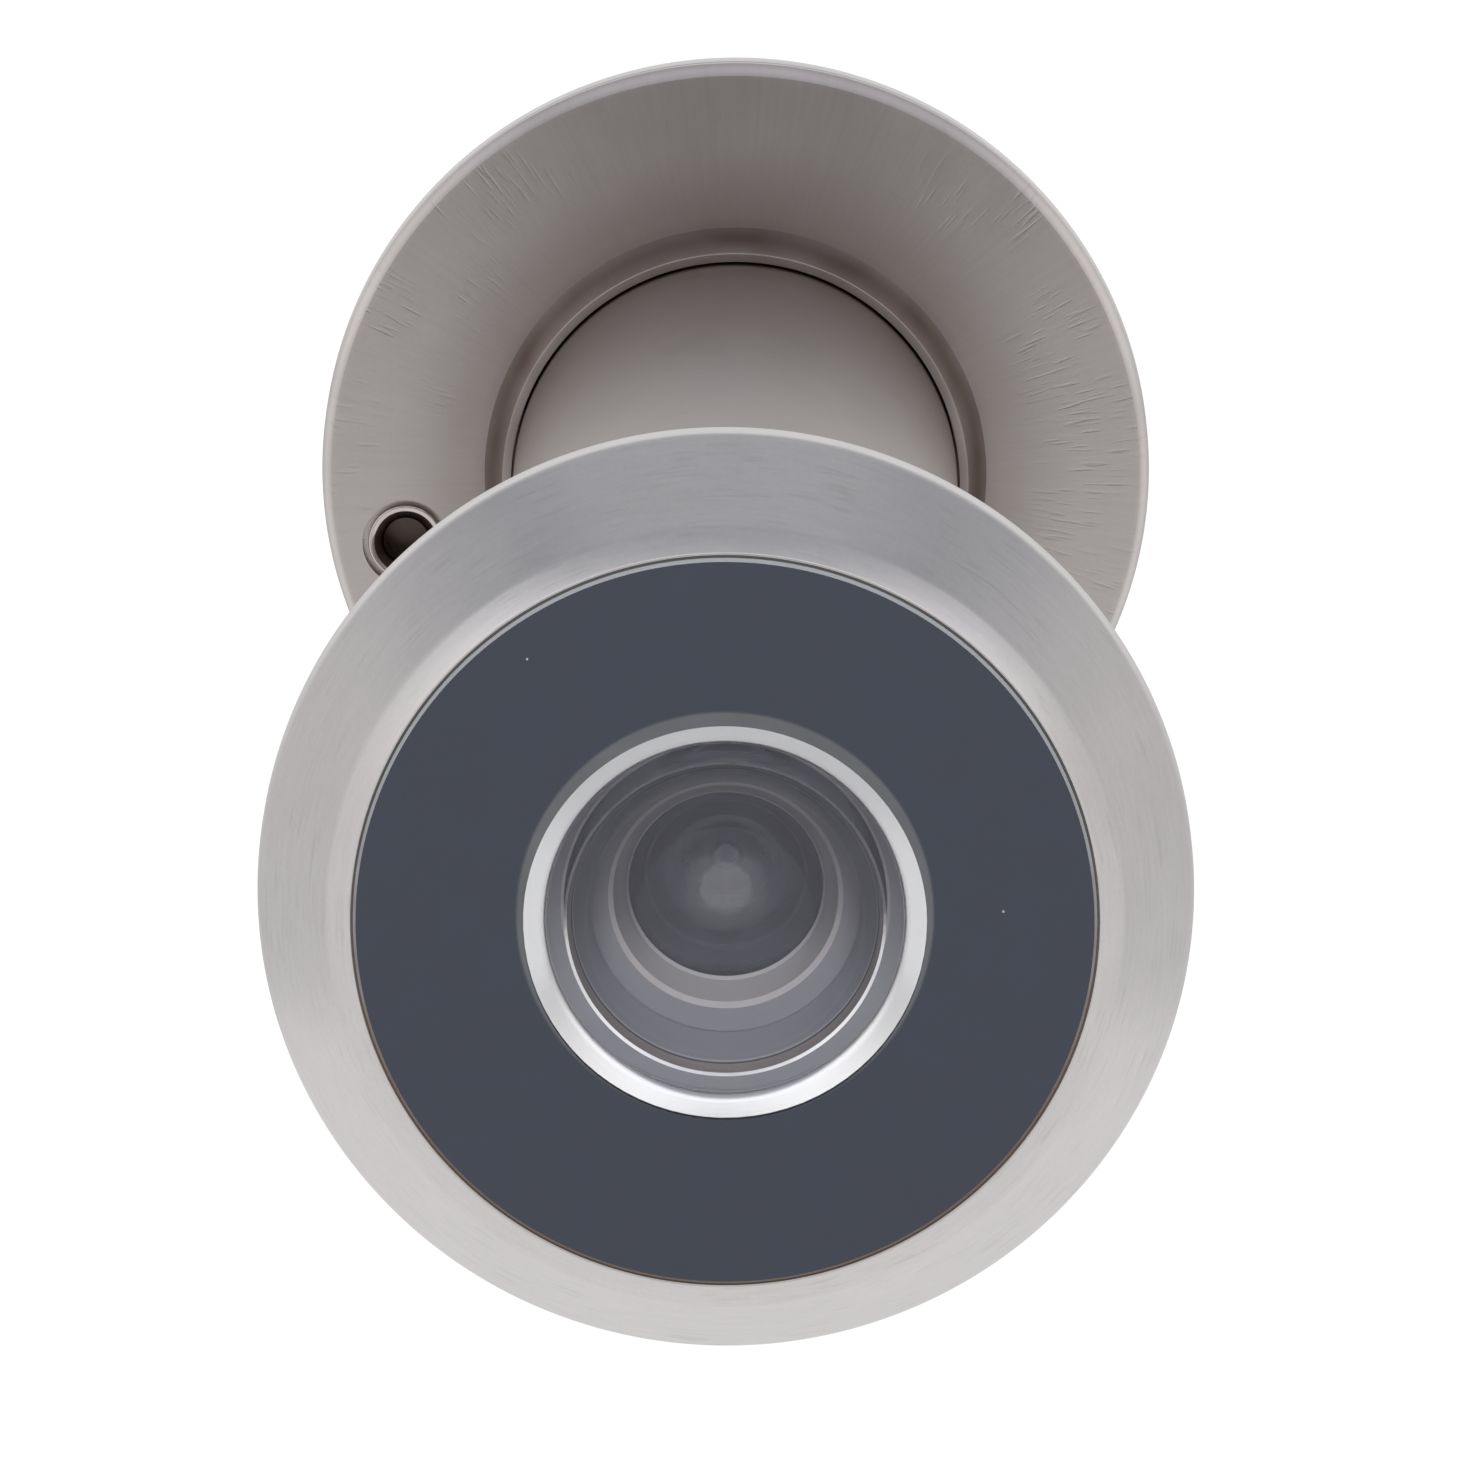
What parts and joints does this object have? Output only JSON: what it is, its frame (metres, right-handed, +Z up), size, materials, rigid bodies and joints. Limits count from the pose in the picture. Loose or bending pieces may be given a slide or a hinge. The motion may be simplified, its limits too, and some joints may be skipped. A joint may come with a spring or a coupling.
{
  "type": "door viewer",
  "caption": "Round door viewer in satin metal: a bevelled outdoor flange with a dark glass window and wide-angle lens, a screw-on sleeve, an indoor rosette and a swinging privacy cover.",
  "frame": {"origin": "centre of the outdoor flange's seat on the door's outside face, on the tube's axis", "axes": "+Y along the tube from outdoors to indoors, +X to the right as a visitor sees it from outdoors, +Z up as pictured"},
  "size_m": [0.026, 0.0647, 0.026],
  "materials": {
    "satin_nickel": "satin nickel plate, fine brushed",
    "bright_nickel": "bright nickel plate",
    "plated_thread": "nickel-plated brass, as cut",
    "spring_steel": "bare spring steel",
    "polished_ring": "polished bevel",
    "clear_glass": "clear, polished flat",
    "lens_glass": "clear optical glass",
    "black_print": "black print seen through glass",
    "grey_spacer": "bead-blasted",
    "black_ring": "black anodised",
    "brown_bond": "cured bond line",
    "black_rubber": "flat black rubber"
  },
  "bodies": {
    "outer_half": {"outer_flange": "satin_nickel", "outer_gasket": "black_rubber", "outer_barrel": "plated_thread", "front_window": "clear_glass", "window_seal": "brown_bond", "window_mask": "black_print", "objective_bezel": "polished_ring", "objective_lens": "lens_glass", "front_spacer": "grey_spacer", "second_lens": "lens_glass", "middle_spacer": "grey_spacer", "third_lens": "lens_glass", "lens_retaining_ring": "black_ring"},
    "rosette_plate": {"rosette": "satin_nickel", "pivot_rivet": "bright_nickel", "rivet_washer": "spring_steel"},
    "screw_sleeve": {"sleeve": "satin_nickel", "eyepiece_lens": "lens_glass", "eyepiece_retaining_ring": "black_ring"},
    "cover": {"privacy_cover": "satin_nickel"}
  },
  "joints": [
    {"name": "clamp_travel", "type": "slide", "parent": "outer_half", "child": "rosette_plate", "axis": [0, 1, 0], "range_m": [-0.022, 0.003]},
    {"name": "sleeve_turn", "type": "hinge", "parent": "rosette_plate", "child": "screw_sleeve", "pos_m": [0, 0.057, 0], "axis": [0, 1, 0], "range_deg": [-10559, 1439]},
    {"name": "cover_swing", "type": "hinge", "parent": "rosette_plate", "child": "cover", "pos_m": [-0.01037, 0.058, -0.0022], "axis": [0, 1, 0], "continuous": true}
  ],
  "couplings": [
    {"joint": "clamp_travel", "follows": "sleeve_turn", "m_per_rad": 0.00011937}
  ]
}
